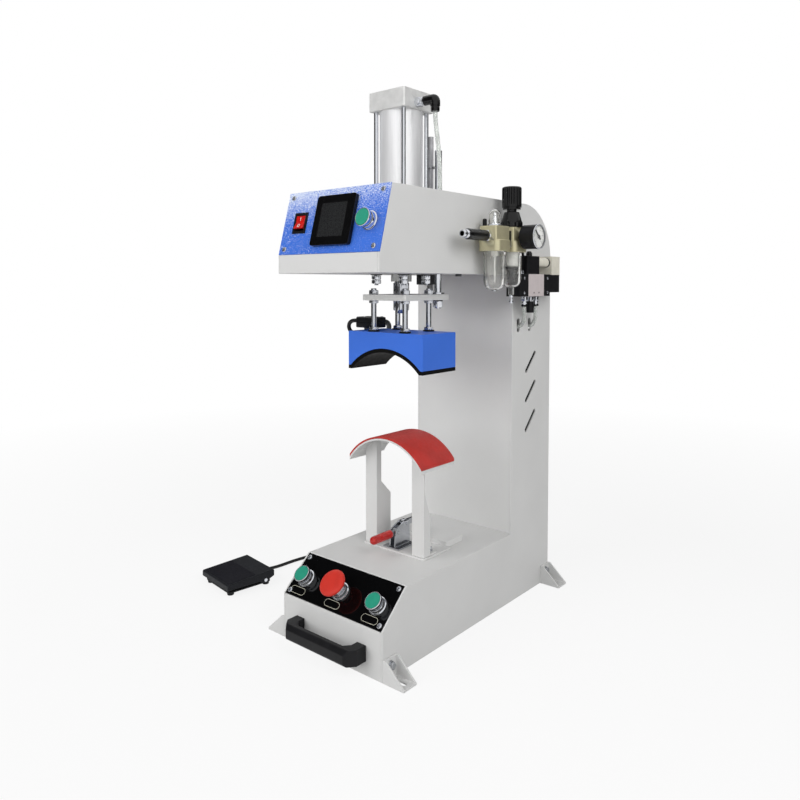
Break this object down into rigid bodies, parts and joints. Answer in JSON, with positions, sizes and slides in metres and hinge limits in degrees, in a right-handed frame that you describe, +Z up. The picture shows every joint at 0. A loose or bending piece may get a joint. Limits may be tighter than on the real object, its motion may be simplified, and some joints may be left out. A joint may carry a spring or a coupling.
{
  "type": "pneumatic cap heat press",
  "caption": "Benchtop pneumatic cap heat press: C-shaped stand, air cylinder, arched heated platen, padded form, air unit, two-hand buttons and foot pedal.",
  "frame": {"origin": "centre of the four bench bolt slots, on the bench", "axes": "+Z up along the press travel, -Y the operator's side, +X to the operator's right"},
  "size_m": [0.5743, 0.636, 0.871],
  "materials": {
    "body_paint": "fine textured powder coat",
    "blue_paint": "hammered enamel, glossy",
    "zinc": "zinc plated",
    "chrome": "polished",
    "silver": "satin anodised",
    "unit_cast": "champagne cast",
    "black_plastic": "satin",
    "black_gloss": "glossy",
    "green_plastic": "glossy",
    "red_plastic": "glossy",
    "screen": "dark glass",
    "clear_bowl": "clear plastic",
    "clear_hose": "clear soft plastic",
    "black_rubber": "matt",
    "red_silicone": "matt",
    "bronze": "satin",
    "dark_steel": "blackened",
    "needle_black": "matt"
  },
  "bodies": {
    "stand": {"side_plate_left": "body_paint", "side_plate_right": "body_paint", "base_skin": "body_paint", "column_front": "body_paint", "arm_floor": "body_paint", "arm_roof": "body_paint", "rear_cover": "body_paint", "foot_brackets": "body_paint", "fasteners": "zinc", "control_panel": "black_gloss", "head_panel": "blue_paint", "carry_handle": "black_plastic", "button_housings": "chrome", "rocker_frame": "black_gloss", "hmi_housing": "black_gloss", "hmi_screen": "screen", "control_gear": "black_plastic", "rear_sockets": "black_plastic", "cylinder_barrel": "silver", "cylinder_caps": "silver", "tie_rods": "zinc", "air_fittings": "dark_steel", "air_hoses": "clear_hose", "guide_bush": "bronze", "stop_rod": "dark_steel", "heater_cable": "black_rubber", "form_base": "body_paint", "form_stand": "body_paint", "form_pad": "red_silicone", "clamp_frame": "zinc", "frl_bodies": "unit_cast", "frl_bowls": "clear_bowl", "pressure_gauge": "black_plastic", "valve_body": "silver", "valve_pilot": "black_plastic", "pedal_base": "black_plastic", "pedal_switch": "black_plastic", "pedal_cord": "black_rubber", "pedal_coil": "black_rubber", "pedal_cord_rear": "black_rubber"},
    "head": {"piston_rod": "chrome", "head_plate": "zinc", "platen_studs": "zinc", "guide_rod": "chrome", "platen_housing": "blue_paint", "heater_plate": "silver", "platen_liner": "black_rubber", "heater_plug": "black_plastic"},
    "left_button": {"start_button_left": "green_plastic"},
    "right_button": {"start_button_right": "green_plastic"},
    "start_button": {"head_button": "green_plastic"},
    "stop_stem": {"estop_stem": "chrome"},
    "stop_head": {"estop_head": "red_plastic"},
    "rocker": {"rocker_key": "red_plastic"},
    "lever": {"clamp_lever": "zinc", "clamp_grip": "red_plastic"},
    "hold_arm": {"clamp_arm": "zinc"},
    "knob": {"regulator_knob": "black_plastic"},
    "needle": {"gauge_needle": "needle_black"},
    "treadle": {"pedal_treadle": "black_plastic"}
  },
  "joints": [
    {"name": "press_slide", "type": "slide", "parent": "stand", "child": "head", "axis": [0, 0, -1], "range_m": [0, 0.137], "deforming": ["heater_cable"]},
    {"name": "left_start_press", "type": "slide", "parent": "stand", "child": "left_button", "axis": [0, 0.6789, -0.7343], "range_m": [0, 0.004], "stiffness_N_per_m": 400, "springref_m": -0.0015},
    {"name": "right_start_press", "type": "slide", "parent": "stand", "child": "right_button", "axis": [0, 0.6789, -0.7343], "range_m": [0, 0.004], "stiffness_N_per_m": 400, "springref_m": -0.0015},
    {"name": "head_start_press", "type": "slide", "parent": "stand", "child": "start_button", "axis": [0, 0.9662, -0.2577], "range_m": [0, 0.004], "stiffness_N_per_m": 400, "springref_m": -0.0015},
    {"name": "estop_push", "type": "slide", "parent": "stand", "child": "stop_stem", "axis": [0, 0.6789, -0.7343], "range_m": [0, 0.005]},
    {"name": "estop_twist", "type": "hinge", "parent": "stop_stem", "child": "stop_head", "pos_m": [0, -0.23165, 0.11292], "axis": [0, 0.6789, -0.7343], "range_deg": [0, 45], "stiffness_Nm_per_rad": 0.05},
    {"name": "rocker_tip", "type": "hinge", "parent": "stand", "child": "rocker", "pos_m": [-0.0675, -0.22725, 0.65478], "axis": [1, 0, 0], "range_deg": [0, 18]},
    {"name": "clamp_lever_lift", "type": "hinge", "parent": "stand", "child": "lever", "pos_m": [-0.006, -0.08, 0.15], "axis": [-1, 0, 0], "range_deg": [0, 65]},
    {"name": "clamp_arm_lift", "type": "hinge", "parent": "stand", "child": "hold_arm", "pos_m": [-0.006, -0.058, 0.16], "axis": [1, 0, 0], "range_deg": [0, 85]},
    {"name": "regulator_turn", "type": "hinge", "parent": "stand", "child": "knob", "pos_m": [0.1355, 0.049, 0.69], "axis": [0, 0, 1], "range_deg": [-540, 540]},
    {"name": "gauge_sweep", "type": "hinge", "parent": "stand", "child": "needle", "pos_m": [0.1861, 0.049, 0.639], "axis": [-1, 0, 0], "range_deg": [-90, 180], "stiffness_Nm_per_rad": 0.00001},
    {"name": "treadle_press", "type": "hinge", "parent": "stand", "child": "treadle", "pos_m": [-0.32682, -0.12629, 0.012], "axis": [0.9903, -0.1392, 0], "range_deg": [0, 7], "stiffness_Nm_per_rad": 6, "springref_deg": -5.16}
  ],
  "couplings": [
    {"joint": "clamp_arm_lift", "follows": "clamp_lever_lift", "ratio": 1.3}
  ]
}
